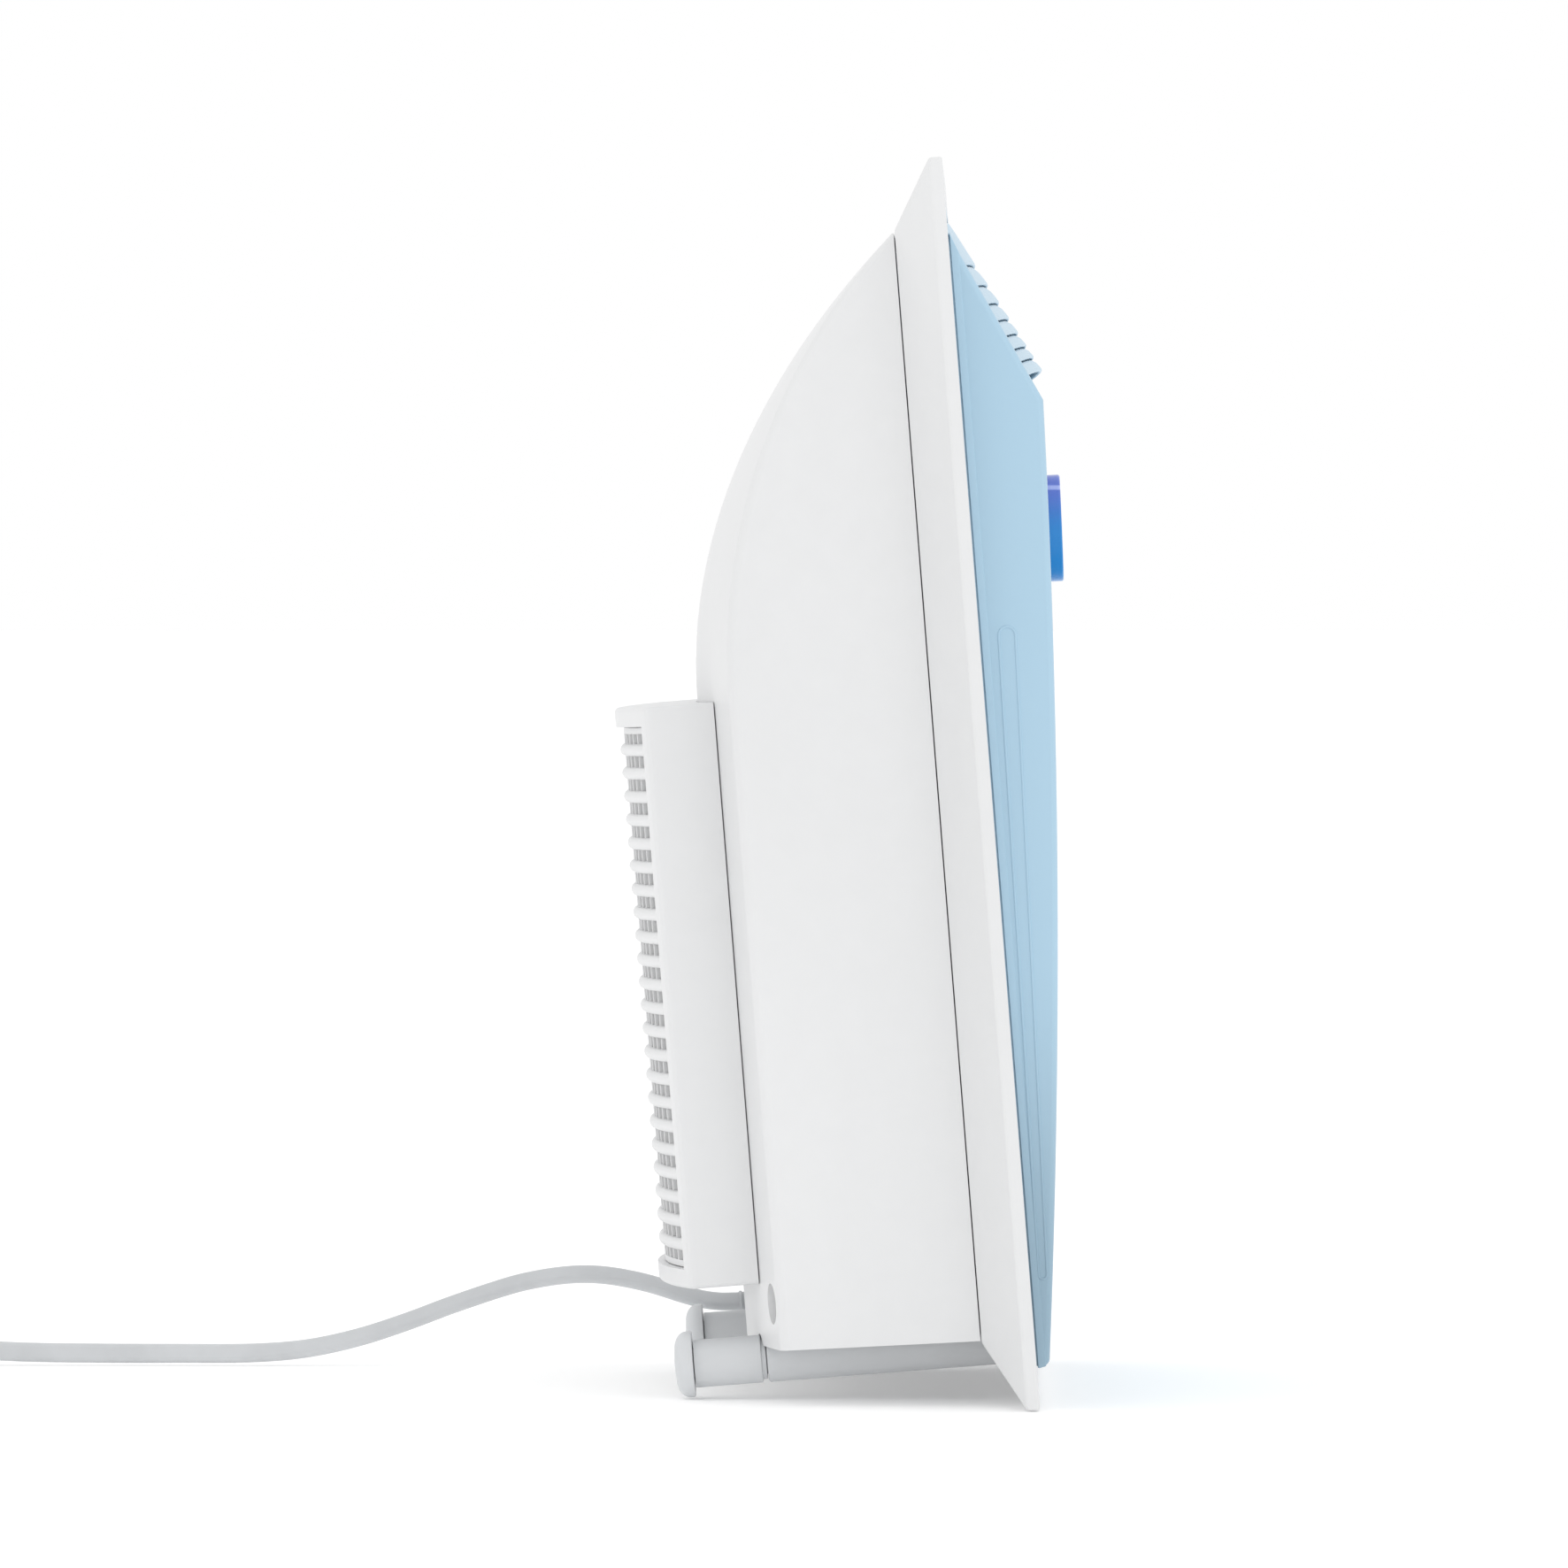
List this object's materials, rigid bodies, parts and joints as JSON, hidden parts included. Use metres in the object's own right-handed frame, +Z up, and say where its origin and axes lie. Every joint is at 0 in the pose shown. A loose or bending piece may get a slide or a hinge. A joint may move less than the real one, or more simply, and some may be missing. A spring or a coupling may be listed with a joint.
{
  "type": "air purifier",
  "caption": "Table-top ionising air purifier that leans back on a flared front frame and two pull-out rear legs, with a slanted outlet louver, lit power lens, rear intake filter and mains cord.",
  "frame": {"origin": "bottom centre of the standing unit, on the table plane; the coiled cord behind it is left out of the centring", "axes": "+Z up from the table, -Y out of the blue front cover, +Y to the rear where the legs, filter and cord are, +X to the left for someone facing the front"},
  "size_m": [0.22, 0.3788, 0.32],
  "materials": {
    "white": "satin",
    "blue": "satin",
    "lens": "gloss",
    "board": "semi-matt",
    "grey": "semi-matt",
    "pad": "matt",
    "screw": "zinc plated",
    "frame_card": "matt",
    "media": "pleated fleece",
    "chassis": "matt",
    "dark": "semi-matt",
    "switch": "matt",
    "steel": "ground",
    "transformer": "varnished",
    "holder": "matt",
    "comb": "bright",
    "cord": "matt",
    "tie": "matt",
    "pin": "nickel plated"
  },
  "bodies": {
    "housing": {"board_screw_left": "screw", "board_screw_right": "screw", "case_screw_left": "screw", "case_screw_right": "screw", "chassis_plate": "chassis", "chassis_screw_left_1": "screw", "chassis_screw_left_2": "screw", "chassis_screw_right_1": "screw", "chassis_screw_right_2": "screw", "clamp_screw": "screw", "control_board": "board", "cord_clamp": "holder", "cord_coil": "cord", "cord_tail": "cord", "cord_tie": "tie", "discharge_comb": "comb", "electrode_holder": "holder", "fan_housing": "dark", "fan_screw_1": "screw", "fan_screw_2": "screw", "fan_screw_3": "screw", "fan_screw_4": "screw", "fan_stator": "dark", "front_cover": "blue", "front_frame": "white", "ground_grid": "comb", "hv_module": "dark", "leg_socket_left": "grey", "leg_socket_right": "grey", "mains_cord": "cord", "outlet_louver": "blue", "plug_body": "cord", "plug_pin_left": "pin", "plug_pin_right": "pin", "power_board": "board", "rear_shell": "white", "strain_relief": "cord", "tact_switch": "switch", "transformer": "transformer"},
    "fan": {"fan_rotor": "dark", "fan_shaft": "steel"},
    "button": {"power_button": "lens", "switch_plunger": "dark"},
    "filter": {"filter_cover": "white", "intake_grille": "white", "filter_frame": "frame_card", "filter_media": "media"},
    "leg_left": {"leg_rod_left": "grey", "leg_pad_left": "pad"},
    "leg_right": {"leg_rod_right": "grey", "leg_pad_right": "pad"}
  },
  "joints": [
    {"name": "fan_spin", "type": "hinge", "parent": "housing", "child": "fan", "pos_m": [0, 0.00059, 0.10715], "axis": [0, 0.9969, -0.0785], "continuous": true},
    {"name": "button_press", "type": "slide", "parent": "housing", "child": "button", "axis": [0, 0.9991, -0.0414], "range_m": [0, 0.0015], "stiffness_N_per_m": 400, "springref_m": -0.001},
    {"name": "filter_pull", "type": "slide", "parent": "housing", "child": "filter", "axis": [0, 0.9969, -0.0785], "range_m": [0, 0.06]},
    {"name": "leg_left_pull", "type": "slide", "parent": "housing", "child": "leg_left", "axis": [0, 0.9969, -0.0785], "range_m": [0, 0.03]},
    {"name": "leg_right_pull", "type": "slide", "parent": "housing", "child": "leg_right", "axis": [0, 0.9969, -0.0785], "range_m": [0, 0.03]}
  ]
}
